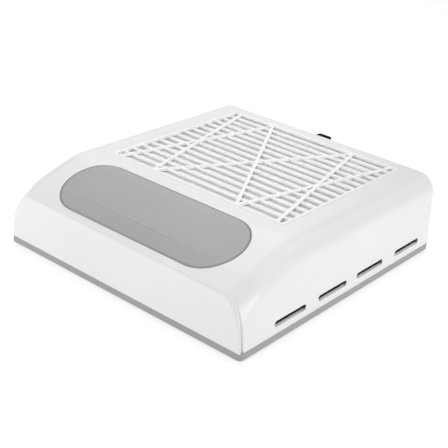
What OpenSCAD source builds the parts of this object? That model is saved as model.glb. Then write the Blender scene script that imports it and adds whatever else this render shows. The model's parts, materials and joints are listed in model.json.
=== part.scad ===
// Desktop nail dust collector: a low white housing with a sloped wrist pad at the
// front, a wide suction grille over a slide-out filter cassette, and a centrifugal
// fan that blows the cleaned air out through slots low in both sides.
// The origin is on the table, under the middle of the overall footprint.
// +Y points to the back, where the cassette slides out. Lengths are in millimetres.

/* [Body] */
// Width over the base band
body_w = 270; // [266:1:276]
// Depth from the front face to the back face
body_d = 282; // [280:1:288]
// Height of the grille above the table
body_h = 76; // [76:0.5:79]
// Wall thickness of the top shell
wall = 2.5; // [2.2:0.1:2.8]
// How much each side wall leans in from the base to the top
side_taper = 4.5; // [3:0.5:6]
// Radius between the top and the sides
shoulder_r = 18; // [17:0.5:20]
// Extra shoulder radius at the front face
shoulder_growth = 6; // [4:0.5:8]
// Height of the coloured base band
band_h = 6; // [5:0.5:6.5]
// Radius of the upright corners of the base band
corner_r = 4; // [3:0.5:5]

/* [Front slope] */
// Height of the front face above the table
front_h = 52.5; // [50:0.5:54]
// Distance from the front face to the corner where the top starts to slope
slope_run = 66; // [64:0.5:68]
// Distance from the front face to the bend in the slope
bend_run = 21.5; // [19:0.5:23]
// Height of the bend in the slope
bend_h = 61.4; // [60:0.2:63]

/* [Wrist pad] */
// Length of the pad along the width of the body
pad_l = 196; // [180:1:200]
// Width of the pad seen from above
pad_w = 64; // [56:1:65]
// Distance from the front face to the middle line of the pad
pad_run = 39; // [38:0.5:41]
// Depth of the pocket that the pad is bonded into
pad_depth = 1.4; // [1:0.1:1.5]

/* [Grille] */
// Number of slot rows
row_count = 15; // [9:1:16]
// Distance from one slot row to the next
row_pitch = 11.7; // [10:0.1:11.8]
// Width of one slot, front to back
slot_w = 9.2; // [6:0.1:9.4]
// Length of the slot rows
row_l = 192; // [184:1:192]
// Distance from the front face to the front slot
row_run = 91.8; // [91:0.1:95]
// Width of the zigzag bars
bar_w = 2.9; // [2.5:0.1:4.5]
// Thickness of the grille panel at its rim
panel_t = 2.9; // [2.6:0.1:3.1]
// Distance from the slots to the edge of the grille panel
rim_w = 3.2; // [2.4:0.1:3.6]

/* [Side vents] */
// Length of one vent slot
vent_l = 41; // [34:1:44]
// Height of one vent slot
vent_h = 5.6; // [4.6:0.2:6]
// Height of the middle of the vent slots above the table
vent_z = 17; // [16.4:0.2:18]

/* [Fan] */
// Outer diameter of the impeller
impeller_d = 132; // [120:1:136]
// Number of impeller blades
blade_count = 9; // [7:1:11]
// Diameter of the fan inlet
inlet_d = 104; // [96:1:108]
// Diameter of the motor shaft
shaft_d = 6; // [5:0.5:6]

/* [Controls] */
// Diameter of the speed knob
knob_d = 19; // [16:0.5:21]
// How far the knob and the pull tab stand out from the back face
back_reach = 8; // [8:0.5:9]
// Swing of the power rocker between its two positions
rocker_swing = 16; // [12:1:18]

/* [Hidden] */
$fn = 48;

// Colours
shell_white = [0.93, 0.93, 0.92];
band_grey = [0.62, 0.62, 0.62];
pad_grey = [0.66, 0.66, 0.66];
inner_black = [0.10, 0.10, 0.11];
steel = [0.72, 0.73, 0.75];
copper = [0.75, 0.42, 0.22];
paper_white = [0.95, 0.95, 0.93];
board_green = [0.10, 0.34, 0.20];

// The body sits ahead of the origin by half of what stands out at the back,
// so that the origin is in the middle of the overall footprint.
body_shift = -back_reach / 2;
front_y = -body_d / 2;
back_y = body_d / 2;
eps = 0.01;

// Heights
foot_h = 2;
floor_t = 3;
floor_top = foot_h + floor_t;
band_top = foot_h + band_h;
rim_lift = 0.4;
shell_top = body_h - rim_lift;
panel_z = body_h - panel_t;
ledge_t = 1.8;
ledge_z = panel_z - ledge_t;
deck_z = 42;
deck_t = 2.5;
deck_top = deck_z + deck_t;
cassette_top = panel_z - 0.5;
cassette_z = 55.5;
gasket_t = 1.5;
gasket_z = cassette_z - gasket_t;
gasket_gap = 0.3;

// Front slope: two knees, each blended over twice its half length
knee_one_y = front_y + slope_run;
knee_two_y = front_y + bend_run;
knee_one_b = 8;
knee_two_b = 4;
slope_one = (shell_top - bend_h) / (slope_run - bend_run);
slope_two = (bend_h - front_h) / bend_run;
front_edge_r = 1.8;
back_edge_r = 2.5;

// Nose: near the front face the shoulders widen and reach further down the sides,
// which lean in further as well
nose_run = 29;
nose_y = front_y + nose_run;
nose_lean = 0.06;
nose_stretch = 0.8;

// Grille opening in the shell
rows_front = front_y + row_run;
rows_back = rows_front + (row_count - 1) * row_pitch + slot_w;
rows_mid = (rows_front + rows_back) / 2;
panel_gap = 0.3;
panel_w = row_l + 2 * rim_w;
panel_d = rows_back - rows_front + 2 * rim_w;
opening_w = panel_w + 2 * panel_gap;
opening_d = panel_d + 2 * panel_gap;
ledge_in = 1.9;
ledge_out = 3;

// Filter cassette
cassette_w = row_l + 1;
cassette_front = rows_front - 0.5;
end_plate_t = 2.5;
cassette_back = back_y - end_plate_t;
cassette_d = cassette_back - cassette_front;
cassette_wall = 3.2;
slot_side_gap = 0.4;
end_plate_top = shell_top - wall - 0.3;
pleat_count = 30;
scrim_t = 0.8;
scrim_z = cassette_top - 0.2 - scrim_t;
tab_w = 15;
tab_t = 2.4;
tab_gap = 0.35;

// Fan
fan_x = 0;
fan_y = rows_mid;
impeller_z = 11.5;
impeller_h = 27;
bracket_z = 8;
can_d = 46;
can_z = 9.5;
can_h = 21.5;
bearing_d = 13;
bearing_h = 5;
running_gap = 0.04;
lead_hole_x = -9;
lead_hole_y = 9;
lead_hole_r = 2.6;

// Pillars that the base screws hold
pillar_x = 118;
pillar_ys = [front_y + 18, front_y + 149.5, back_y - 12];
pillar_r = 4;
pillar_low = 10;
pillar_high = 40;
web_low = band_top + 3.5;
screw_core_r = 1.5;

// Posts that carry the fan deck
post_x = 106;
post_ys = [rows_front - 6, back_y - 16];

// Vent slots, measured from the middle of the body
vent_ys = [-78.5, -20, 37, 99];

// Parts on the back wall
panel_parts_z = 30;
rocker_x = 44;
rocker_w = 16;
rocker_h = 23;
rocker_r = 8.2;
rocker_pivot_out = 0.3;
pole_x = 3.2;
pole_z = 6;
knob_x = -62;
inlet_x = 80;
inlet_w = 32;
inlet_h = 20;

// Control board
board_x = -88;
board_y = 84;
board_w = 46;
board_d = 34;
board_z = 13;

// ---- shared shapes ----

module place() {
    translate([0, body_shift, 0]) children();
}

module round_rect(w, d, r) {
    square([w - 2 * r, d], center = true);
    square([w, d - 2 * r], center = true);
    for (x = [-1, 1], y = [-1, 1])
        translate([x * (w / 2 - r), y * (d / 2 - r)]) circle(r = r);
}

module frame_rect(w, d, t) {
    difference() {
        square([w, d], center = true);
        square([w - 2 * t, d - 2 * t], center = true);
    }
}

// A slot outline with round ends, length l along X and width w
module stadium(l, w) {
    square([l - w, w], center = true);
    for (x = [-1, 1]) translate([x * (l - w) / 2, 0]) circle(d = w);
}

module tube(r_out, r_in, h) {
    difference() {
        cylinder(r = r_out, h = h);
        translate([0, 0, -1]) cylinder(r = r_in, h = h + 2);
    }
}

// Turns a shape drawn along +Z so that it points to the back
module to_back() {
    rotate([-90, 0, 0]) children();
}

// A pan-head screw that points down, with its head resting at z = 0
module pan_screw(head_r, head_h, core_r, length) {
    difference() {
        cylinder(r = head_r, h = head_h);
        translate([0, 0, head_h - 0.8]) linear_extrude(2) cross_slot(head_r * 1.1, 0.7);
    }
    translate([0, 0, -length]) cylinder(r = core_r, h = length + eps);
}

module cross_slot(l, w) {
    square([l, w], center = true);
    square([w, l], center = true);
}

// A round lead along a route. Cutting the corners twice rounds the bends.
function cut_corners(p) = concat([p[0]],
    [for (i = [0 : len(p) - 2]) each [0.75 * p[i] + 0.25 * p[i + 1], 0.25 * p[i] + 0.75 * p[i + 1]]],
    [p[len(p) - 1]]);

function unit(v) = v / norm(v);

lead_sides = 8;

// level is the direction that stays on the same side of the lead all the way,
// so no stretch of the route may run along it.
module lead(route, r, level) {
    path = cut_corners(cut_corners(route));
    last = len(path) - 1;
    points = [for (i = [0 : last])
        let (
            along = unit(path[min(i + 1, last)] - path[max(i - 1, 0)]),
            across = unit(cross(along, level)),
            up = cross(across, along)
        )
        for (j = [0 : lead_sides - 1])
            path[i] + r * (cos(j * 360 / lead_sides) * across + sin(j * 360 / lead_sides) * up)];
    walls = [for (i = [0 : last - 1], j = [0 : lead_sides - 1])
        let (k = (j + 1) % lead_sides, a = i * lead_sides + j, b = i * lead_sides + k)
        each [[a, b, b + lead_sides], [a, b + lead_sides, a + lead_sides]]];
    near = [[for (j = [lead_sides - 1 : -1 : 0]) j]];
    far = [[for (j = [0 : lead_sides - 1]) last * lead_sides + j]];
    polyhedron(points = points, faces = concat(walls, near, far), convexity = 8);
}

// ---- outer form of the housing ----

// Drop of a line that starts to fall at y = at and is blended over 2 * half
function knee(y, at, half, slope) =
    let (v = at + half - y)
    slope * (v <= 0 ? 0 : v >= 2 * half ? v - half : v * v / (4 * half));

function top_line(y) = shell_top
    - knee(y, knee_one_y, knee_one_b, slope_one)
    - knee(y, knee_two_y, knee_two_b, slope_two - slope_one);

function nose(y) = pow(max(0, (nose_y - y) / nose_run), 2);
function shoulder(y) = shoulder_r + shoulder_growth * nose(y);
function stretch(y) = 1 + nose_stretch * nose(y);
function lean(y) = taper + nose_lean * nose(y);

// Rounding of the edges around the front and back faces
function fillet(d, r) = d >= r ? 0 : r - sqrt(r * r - (r - d) * (r - d));
function edge_inset(y) = fillet(y - front_y, front_edge_r) + fillet(back_y - y, back_edge_r);

taper = side_taper / (body_h - foot_h);
arc_steps = 10;

// Cross-section at y: bottom right, over the two shoulders, to bottom left.
// grow moves the whole outline out, or in where it is negative.
function section(y, grow, low) =
    let (
        r = shoulder(y) + grow,
        h = r * stretch(y),
        lean = lean(y),
        side = body_w / 2 + grow * sqrt(1 + lean * lean),
        a = atan(lean * stretch(y)),
        zc = top_line(y) + grow - h,
        xc = side - lean * (zc + h * sin(a) - foot_h) - r * cos(a),
        arc = [for (j = [0 : arc_steps]) let (t = a + (90 - a) * j / arc_steps)
            [xc + r * cos(t), zc + h * sin(t)]],
        foot = [side - lean * (low - foot_h), low]
    )
    concat([foot], arc,
        [for (j = [arc_steps : -1 : 0]) [-arc[j][0], arc[j][1]]],
        [[-foot[0], low]]);

// A solid through the sections at the given places along Y
module skin(ys, grow, low, rounded) {
    ring = 2 * arc_steps + 4;
    last = len(ys) - 1;
    points = [for (y = ys, p = section(y, grow - (rounded ? edge_inset(y) : 0), low)) [p[0], y, p[1]]];
    sides = [for (i = [0 : last - 1], j = [0 : ring - 1])
        let (k = (j + 1) % ring, a = i * ring + j, b = i * ring + k)
        each [[a, b, b + ring], [a, b + ring, a + ring]]];
    front = [[for (j = [ring - 1 : -1 : 0]) j]];
    back = [[for (j = [0 : ring - 1]) last * ring + j]];
    polyhedron(points = points, faces = concat(sides, front, back), convexity = 6);
}

edge_steps = [0, 0.09, 0.3, 0.65, 1];
nose_places = [for (f = [5 : 4 : 13]) front_y + f];
bend_places = [for (f = [-1 : 0.5 : 1]) knee_two_y + f * knee_two_b];
crest_places = [for (f = [-1 : 0.4 : 1]) knee_one_y + f * knee_one_b];
slope_places = concat(bend_places, [(knee_one_y + knee_two_y) / 2], crest_places);
outer_places = concat(
    [for (f = edge_steps) front_y + f * front_edge_r],
    nose_places,
    slope_places,
    [for (f = edge_steps) back_y - back_edge_r * (1 - f)]);
inner_places = concat([front_y + wall], nose_places, slope_places, [back_y - wall]);
pad_places = concat([front_y + 0.5], nose_places, slope_places, [knee_one_y + 2 * knee_one_b]);

module pad_outline(gap) {
    translate([0, front_y + pad_run]) stadium(pad_l - 2 * gap, pad_w - 2 * gap);
}

// ---- casing ----

module top_shell() {
    color(shell_white) place() difference() {
        union() {
            difference() {
                skin(outer_places, 0, band_top, true);
                skin(inner_places, -wall, band_top - 1, false);
                translate([0, rows_mid, 50]) linear_extrude(40)
                    square([opening_w, opening_d], center = true);
            }
            grille_ledge();
            for (x = [-1, 1], y = pillar_ys) shell_pillar(x, y);
        }
        pad_pocket();
        for (y = vent_ys) vent_cut(y);
        back_wall_cuts();
        for (x = [-1, 1], y = pillar_ys)
            translate([x * pillar_x, y, pillar_low - 1]) cylinder(r = screw_core_r, h = 17);
    }
}

// The ledge runs along the front and both sides. The back stays open, because the
// cassette slides out there close under the grille.
module grille_ledge() {
    inner_w = panel_w - 2 * ledge_in;
    inner_front = rows_mid - panel_d / 2 + ledge_in;
    translate([0, rows_mid, ledge_z]) linear_extrude(ledge_t) difference() {
        square([opening_w + 2 * ledge_out, opening_d + 2 * ledge_out], center = true);
        translate([-inner_w / 2, inner_front - rows_mid]) square([inner_w, body_d]);
    }
}

module shell_pillar(side, y) {
    translate([side * pillar_x, y, pillar_low]) cylinder(r = pillar_r, h = pillar_high - pillar_low);
    translate([side * (pillar_x + 7.3) - 5.6, y - 1, web_low]) cube([11.2, 2, pillar_high - web_low]);
}

module pad_pocket() {
    difference() {
        translate([0, 0, 30]) linear_extrude(60) pad_outline(0);
        skin(pad_places, -pad_depth, 20, false);
    }
}

module vent_cut(y) {
    for (x = [-1, 1]) translate([x * body_w / 2, y, vent_z])
        rotate([90, 0, 90]) translate([0, 0, -12]) linear_extrude(24) stadium(vent_l, vent_h);
}

module back_wall_cuts() {
    translate([-cassette_w / 2 - slot_side_gap, back_y - 5, gasket_z - gasket_gap])
        cube([cassette_w + 2 * slot_side_gap, 10, shell_top - wall - gasket_z + gasket_gap]);
    translate([rocker_x - 6.7, back_y - 5, panel_parts_z - 9.7]) cube([13.4, 10, 19.4]);
    translate([inlet_x - 13.1, back_y - 5, panel_parts_z - 7.6]) cube([26.2, 10, 15.2]);
    translate([knob_x, back_y - 5, panel_parts_z]) to_back() cylinder(r = 3.8, h = 10);
}

module zigzag(flip) {
    quarter = row_l / 4;
    left = -row_l / 2 + 5;
    ends = [[left, 1], [-quarter - 1, 0], [quarter, 1], [-left, 0]];
    for (i = [0 : 2])
        bar(ends[i][0], (ends[i][1] == 1) == flip, ends[i + 1][0], (ends[i + 1][1] == 1) == flip);
}

module bar(x_a, back_a, x_b, back_b) {
    y_a = back_a ? rows_back + 1 : rows_front - 1;
    y_b = back_b ? rows_back + 1 : rows_front - 1;
    length = norm([x_b - x_a, y_b - y_a]);
    translate([(x_a + x_b) / 2, (y_a + y_b) / 2]) rotate(atan2(y_b - y_a, x_b - x_a))
        square([length, bar_w], center = true);
}

module grille_panel() {
    color(shell_white) place() {
        translate([0, rows_mid, panel_z]) linear_extrude(panel_t)
            frame_rect(panel_w, panel_d, rim_w - 0.6);
        translate([0, 0, panel_z]) linear_extrude(panel_t - rim_lift) difference() {
            translate([0, rows_mid]) square([panel_w - 3, panel_d - 3], center = true);
            difference() {
                for (i = [0 : row_count - 1])
                    translate([-row_l / 2, rows_front + i * row_pitch]) square([row_l, slot_w]);
                zigzag(true);
                zigzag(false);
            }
        }
    }
}

// A strip that follows the line of the top, cut to the outline of the pocket
module wrist_pad() {
    proud = 0.3;
    last = len(pad_places) - 1;
    floor_line = [for (y = pad_places) [y, top_line(y) - pad_depth]];
    face_line = [for (i = [last : -1 : 0]) [pad_places[i], top_line(pad_places[i]) + proud]];
    color(pad_grey) place() intersection() {
        translate([-pad_l / 2, 0, 0]) rotate([90, 0, 90]) linear_extrude(pad_l)
            polygon(concat(floor_line, face_line));
        translate([0, 0, 30]) linear_extrude(60) pad_outline(0.35);
    }
}

module base_tray() {
    lip_gap = 0.9;
    lip_t = 1.8;
    lip_out = wall + lip_gap + taper * band_h;
    color(band_grey) place() difference() {
        union() {
            translate([0, 0, foot_h]) linear_extrude(floor_t) round_rect(body_w, body_d, corner_r);
            translate([0, 0, floor_top - eps]) linear_extrude(band_top - floor_top + eps) difference() {
                round_rect(body_w, body_d, corner_r);
                square([body_w - 2 * lip_out - 2 * lip_t, body_d - 2 * lip_out - 2 * lip_t], center = true);
            }
            translate([0, 0, band_top - eps]) linear_extrude(3)
                frame_rect(body_w - 2 * lip_out, body_d - 2 * lip_out, lip_t);
            for (x = [-1, 1], y = pillar_ys)
                translate([x * pillar_x, y, foot_h]) cylinder(r = 5.5, h = pillar_low - foot_h);
            for (x = [-1, 1], y = post_ys)
                translate([x * post_x, y, foot_h]) cylinder(r = 4.5, h = deck_z - foot_h);
            at_bracket_corners() translate([0, 0, foot_h]) cylinder(r = 4, h = 3.8);
            at_board_corners() translate([0, 0, foot_h]) cylinder(r = 3, h = board_z - foot_h);
            floor_ribs();
        }
        for (x = [-1, 1], y = pillar_ys) translate([x * pillar_x, y, 0]) {
            cylinder(r = 3.2, h = floor_top);
            cylinder(r = 1.75, h = 20);
        }
        for (x = [-1, 1], y = post_ys)
            translate([x * post_x, y, deck_z - 14]) cylinder(r = screw_core_r, h = 20);
        at_bracket_corners() translate([0, 0, foot_h + 0.8]) cylinder(r = 1.3, h = 10);
        at_board_corners() translate([0, 0, board_z - 6]) cylinder(r = 1.1, h = 10);
        at_feet() translate([0, 0, foot_h - 1]) cylinder(r = 7.2, h = 2);
    }
}

module floor_ribs() {
    for (x = [-88, 88]) translate([x - 1, front_y + 20, foot_h]) cube([2, 92, 6]);
    for (y = [front_y + 45, front_y + 75]) translate([-88, y - 1, foot_h]) cube([176, 2, 6]);
}

module at_feet() {
    for (x = [-1, 1], y = [-1, 1]) translate([x * (body_w / 2 - 26), y * (body_d / 2 - 26), 0]) children();
}

module rubber_feet() {
    color(inner_black) place() at_feet() rotate_extrude()
        polygon([[0, 0], [6.2, 0], [7, 0.8], [7, foot_h + 1], [0, foot_h + 1]]);
}

module base_screws() {
    color(steel) place() for (x = [-1, 1], y = pillar_ys)
        translate([x * pillar_x, y, floor_top]) rotate([180, 0, 0])
            pan_screw(2.8, 1.8, 1.45, 16);
}

// ---- filter cassette ----

module filter_frame() {
    inner_w = cassette_w - 2 * cassette_wall;
    color(paper_white) place() {
        translate([0, cassette_front + cassette_d / 2, cassette_z]) {
            linear_extrude(cassette_top - cassette_z) frame_rect(cassette_w, cassette_d, cassette_wall);
            linear_extrude(1.2) for (x = [-1, 1])
                translate([x * inner_w / 6, 0]) square([3, cassette_d - 2], center = true);
        }
        translate([-cassette_w / 2, cassette_back - eps, cassette_z])
            cube([cassette_w, end_plate_t + eps, end_plate_top - cassette_z]);
    }
}

// A pleated sheet: a zigzag strip drawn in the YZ plane and run across the frame
module filter_media() {
    gap = 0.2;
    depth = cassette_d - 2 * cassette_wall - 2 * gap;
    low = cassette_z + 1.4;
    high = scrim_z - 0.1;
    sheet = 0.9;
    start = cassette_front + cassette_wall + gap;
    step = depth / (2 * pleat_count);
    upper = [for (i = [0 : 2 * pleat_count]) [start + i * step, i % 2 == 0 ? high : low + sheet]];
    lower = [for (i = [2 * pleat_count : -1 : 0]) [start + i * step, i % 2 == 0 ? high - sheet : low]];
    half = cassette_w / 2 - cassette_wall - gap;
    color(paper_white) place() translate([-half, 0, 0])
        rotate([90, 0, 90]) linear_extrude(2 * half) polygon(concat(upper, lower));
}

// The flat sheet over the pleats, which the slots look down on
module filter_scrim() {
    gap = 0.2;
    color(paper_white) place() translate([0, cassette_front + cassette_d / 2, scrim_z])
        linear_extrude(scrim_t)
        square([cassette_w - 2 * cassette_wall - 2 * gap, cassette_d - 2 * cassette_wall - 2 * gap],
            center = true);
}

module filter_gasket() {
    color(inner_black) place() translate([0, cassette_front + cassette_d / 2, gasket_z])
        linear_extrude(gasket_t) frame_rect(cassette_w - 0.6, cassette_d - 0.6, cassette_wall - 0.6);
}

// A flat tab that the fingers pinch, with a grip ridge below and a root on the end plate.
// It stands clear of the back wall, because it reaches over the top of the slot.
module filter_pull_tab() {
    tab_top = end_plate_top + 1.4;
    root_top = end_plate_top - 0.2;
    root_h = 7;
    root_t = 1.2;
    color(inner_black) place() {
        translate([0, back_y, tab_top - tab_t]) linear_extrude(tab_t) {
            translate([-tab_w / 2, tab_gap]) square([tab_w, back_reach - 2 - tab_gap]);
            translate([-tab_w / 2 + 2, tab_gap]) square([tab_w - 4, back_reach - tab_gap]);
            for (x = [-1, 1]) translate([x * (tab_w / 2 - 2), back_reach - 2]) circle(r = 2);
        }
        translate([-tab_w / 2, back_y, root_top - root_h]) cube([tab_w, root_t, root_h]);
        translate([-tab_w / 2 + 1.5, back_y + back_reach - 1.5, tab_top - tab_t - 0.8])
            cube([tab_w - 3, 1, 1]);
    }
}

// ---- fan deck and inlet ----

tray_w = cassette_w + 2 * slot_side_gap;
tray_front = cassette_front - slot_side_gap;
tray_back = back_y - wall - 1;
guide_top = ledge_z - 0.5;

module fan_deck() {
    deck_w = 2 * post_x + 12;
    deck_front = post_ys[0] - 8;
    seal_top = gasket_z - gasket_gap;
    guide_t = 2.2;
    color(inner_black) place() difference() {
        union() {
            translate([-deck_w / 2, deck_front, deck_z]) cube([deck_w, tray_back - deck_front, deck_t]);
            translate([0, (tray_front + tray_back) / 2, deck_top - eps]) linear_extrude(seal_top - deck_top)
                frame_rect(tray_w - 1, tray_back - tray_front, 3);
            translate([0, tray_front - guide_t, deck_top - eps]) {
                for (x = [-1, 1]) translate([x * (tray_w + guide_t) / 2 - guide_t / 2, 0, 0])
                    cube([guide_t, tray_back - tray_front + guide_t, guide_top - deck_top]);
                translate([-tray_w / 2, 0, 0]) cube([tray_w, guide_t, guide_top - deck_top]);
            }
        }
        translate([fan_x, fan_y, deck_z - 1]) cylinder(d = inlet_d, h = 10, $fn = 96);
        for (x = [-1, 1], y = post_ys) translate([x * post_x, y, deck_z - 1]) cylinder(r = 1.7, h = 10);
        at_guard_screws() translate([0, 0, deck_z - 1]) cylinder(r = 1.2, h = 10);
    }
}

module deck_screws() {
    color(steel) place() for (x = [-1, 1], y = post_ys)
        translate([x * post_x, y, deck_top]) pan_screw(2.8, 1.8, 1.45, 12);
}

module at_guard_screws() {
    for (a = [45 : 90 : 315])
        translate([fan_x, fan_y, 0]) rotate(a) translate([inlet_d / 2 + 6, 0, 0]) children();
}

// A bell mouth that leads the air into the impeller
module inlet_ring() {
    r = inlet_d / 2;
    mouth = 3;
    color(inner_black) place() translate([fan_x, fan_y, 0]) rotate_extrude($fn = 96) difference() {
        union() {
            translate([r - 4, deck_z - 2.6]) square([3.8, deck_t + 4.1]);
            translate([r - 1, deck_top]) square([3.5, 1.4]);
        }
        translate([r - 4, deck_top + 1.5]) circle(r = mouth);
    }
}

module finger_guard() {
    ring_t = 1.6;
    guard_t = 1.4;
    guard_z = deck_top + 1.6;
    arm = inlet_d / 2 + 6;
    color(steel) place() difference() {
        translate([fan_x, fan_y, guard_z]) {
            for (r = [14 : 9.5 : inlet_d / 2]) tube(r, r - ring_t, guard_t, $fn = 72);
            linear_extrude(guard_t) for (a = [45 : 90 : 315])
                rotate(a) translate([12.6, -1.5]) square([arm - 12.6, 3]);
            for (a = [45 : 90 : 315]) rotate(a) translate([arm, 0, deck_top - guard_z])
                cylinder(r = 3.2, h = guard_z - deck_top + guard_t);
        }
        at_guard_screws() translate([0, 0, deck_top - 1]) cylinder(r = 1.3, h = 10);
    }
}

module guard_screws() {
    color(steel) place() at_guard_screws()
        translate([0, 0, deck_top + 3]) pan_screw(2.4, 1.5, 1.15, 6);
}

// ---- fan rotor ----

// A bowl over the motor, with a floor disc that carries the blades
module impeller() {
    r = impeller_d / 2;
    skirt_r = can_d / 2 + 3;
    skin_t = 2;
    hub_top = impeller_z + impeller_h;
    roof_z = can_z + can_h + 2;
    color(inner_black) place() translate([fan_x, fan_y, 0]) {
        rotate_extrude($fn = 96) polygon([
            [skirt_r, impeller_z], [r, impeller_z], [r, impeller_z + skin_t],
            [skirt_r + skin_t, impeller_z + skin_t], [skirt_r + skin_t, roof_z - 2.6],
            [20.8, roof_z + skin_t], [8, roof_z + skin_t], [8, hub_top], [shaft_d / 2, hub_top],
            [shaft_d / 2, roof_z], [20, roof_z], [skirt_r, roof_z - 3.5]]);
        for (i = [0 : blade_count - 1]) rotate(i * 360 / blade_count) blade(skirt_r + 1, r - 1);
    }
}

// A blade that curves back from the direction of rotation, as an arc of constant thickness
module blade(r_in, r_out) {
    bend_r = 46;
    blade_t = 1.8;
    blade_h = 24;
    translate([0, 0, impeller_z + 1.5]) linear_extrude(blade_h) intersection() {
        difference() {
            circle(r = r_out, $fn = 96);
            circle(r = r_in, $fn = 96);
        }
        translate([r_in, bend_r]) difference() {
            circle(r = bend_r, $fn = 96);
            circle(r = bend_r - blade_t, $fn = 96);
        }
        translate([0, -1]) square([r_out, r_out]);
        translate([r_in - 8, -2]) square([r_out, 46]);
    }
}

module impeller_nut() {
    color(steel) place() translate([fan_x, fan_y, impeller_z + impeller_h]) difference() {
        cylinder(r = 5.5, h = 3.2, $fn = 6);
        translate([0, 0, -1]) cylinder(d = shaft_d, h = 6);
    }
}

module motor_shaft() {
    tip = 0.8;
    length = impeller_z + impeller_h + 3.5 - can_z - 1;
    color(steel) place() translate([fan_x, fan_y, can_z + 1]) {
        cylinder(d = shaft_d, h = length);
        translate([0, 0, length - eps]) cylinder(r1 = shaft_d / 2, r2 = shaft_d / 2 - tip, h = tip);
    }
}

module motor_rotor() {
    color([0.35, 0.35, 0.37]) place() translate([fan_x, fan_y, can_z + 7.2]) tube(9.5, shaft_d / 2, 8.5);
}

// ---- motor ----

module ball_bearing(z) {
    color(steel) place() translate([fan_x, fan_y, z])
        tube(bearing_d / 2, shaft_d / 2 + running_gap, bearing_h);
}

module upper_bearing() {
    ball_bearing(can_z + can_h - bearing_h - 0.5);
}

module lower_bearing() {
    ball_bearing(can_z + 1.6);
}

module motor_can() {
    seat_r = bearing_d / 2 + 0.02;
    color([0.20, 0.20, 0.21]) place() translate([fan_x, fan_y, can_z]) rotate_extrude($fn = 72) polygon([
        [can_d / 2, 1.5], [can_d / 2, can_h - 2], [can_d / 2 - 2, can_h], [shaft_d / 2 + 1, can_h],
        [shaft_d / 2 + 1, can_h - 0.5], [seat_r, can_h - 0.5], [seat_r, can_h - 5.5],
        [seat_r + 2, can_h - 5.5], [seat_r + 2, can_h - 2],
        [can_d / 2 - 3, can_h - 2], [can_d / 2 - 1.5, can_h - 3.5],
        [can_d / 2 - 1.5, 1.5]]);
}

module motor_stator() {
    teeth = 6;
    outer = can_d / 2 - 1.7;
    color([0.45, 0.45, 0.48]) place() translate([fan_x, fan_y, can_z + 7.5]) linear_extrude(8) {
        difference() {
            circle(r = outer);
            circle(r = outer - 2.5);
        }
        for (i = [0 : teeth - 1]) rotate(i * 60) {
            translate([12.5, -1.6]) square([outer - 14, 3.2]);
            intersection() {
                difference() {
                    circle(r = 12);
                    circle(r = 10);
                }
                translate([8, -4.2]) square([6, 8.4]);
            }
            translate([11, -1.6]) square([2, 3.2]);
        }
    }
}

module motor_windings() {
    color(copper) place() translate([fan_x, fan_y, can_z + 6.6]) for (i = [0 : 5]) rotate(i * 60)
        difference() {
            translate([12.9, -3.4, 0]) cube([4.6, 6.8, 9.8]);
            translate([12, -1.7, 0.8]) cube([7, 3.4, 8.2]);
        }
}

module motor_end_cap() {
    seat_r = bearing_d / 2 + 0.02;
    color([0.20, 0.20, 0.21]) place() translate([fan_x, fan_y, can_z]) difference() {
        union() {
            cylinder(d = can_d, h = 1.5, $fn = 72);
            translate([0, 0, 1.4]) cylinder(r = seat_r + 2, h = 5.2);
        }
        translate([0, 0, 1.6]) cylinder(r = seat_r, h = 6);
        translate([0, 0, -1]) cylinder(r = shaft_d / 2 + 1, h = 10);
        at_motor_screws() translate([0, 0, -1]) cylinder(r = 1.3, h = 6);
        translate([lead_hole_x, lead_hole_y, -1]) cylinder(r = lead_hole_r, h = 6);
    }
}

module at_motor_screws() {
    for (a = [0 : 90 : 270]) rotate(a) translate([16, 0, 0]) children();
}

module at_bracket_corners() {
    for (x = [-1, 1], y = [-1, 1]) translate([fan_x + x * 28, fan_y + y * 28, 0]) children();
}

module motor_bracket() {
    color(steel) place() difference() {
        translate([fan_x, fan_y, bracket_z]) linear_extrude(can_z - bracket_z) difference() {
            round_rect(66, 66, 5);
            circle(r = 7);
            at_motor_screws() circle(r = 1.6);
            translate([lead_hole_x, lead_hole_y]) circle(r = lead_hole_r);
        }
        at_bracket_corners() translate([0, 0, bracket_z - 1]) cylinder(r = 1.6, h = 5);
    }
}

module motor_isolators() {
    color(inner_black) place() at_bracket_corners() translate([0, 0, 5.8]) tube(3.6, 1.5, bracket_z - 5.8);
}

module bracket_screws() {
    color(steel) place() at_bracket_corners()
        translate([0, 0, can_z]) pan_screw(2.2, 1.1, 1.25, 5.5);
}

module motor_screws() {
    color(steel) place() translate([fan_x, fan_y, bracket_z]) at_motor_screws() rotate([180, 0, 0])
        pan_screw(2.2, 1.2, 1.25, 3);
}

// ---- control electronics ----

module at_board_corners() {
    for (x = [-1, 1], y = [-1, 1])
        translate([board_x + x * (board_w / 2 - 4), board_y + y * (board_d / 2 - 4), 0]) children();
}

module control_board() {
    color(board_green) place() difference() {
        translate([board_x, board_y, board_z]) linear_extrude(1.6) round_rect(board_w, board_d, 1.5);
        at_board_corners() translate([0, 0, board_z - 1]) cylinder(r = 1.5, h = 4);
    }
}

module board_parts() {
    z = board_z + 1.6;
    color([0.16, 0.16, 0.18]) place() translate([board_x, board_y, z]) {
        translate([-9, 4, 0]) cylinder(r = 5, h = 14);
        translate([3, -2, 0]) cube([11, 9, 8]);
        translate([-6, -12, 0]) cube([14, 6, 9]);
        translate([4, 9, 0]) cube([9, 2, 12]);
        translate([-15, -8, 0]) cube([5, 9, 4]);
    }
}

module board_screws() {
    color(steel) place() at_board_corners() translate([0, 0, board_z + 1.6]) pan_screw(2, 1.2, 1.05, 5);
}

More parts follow.
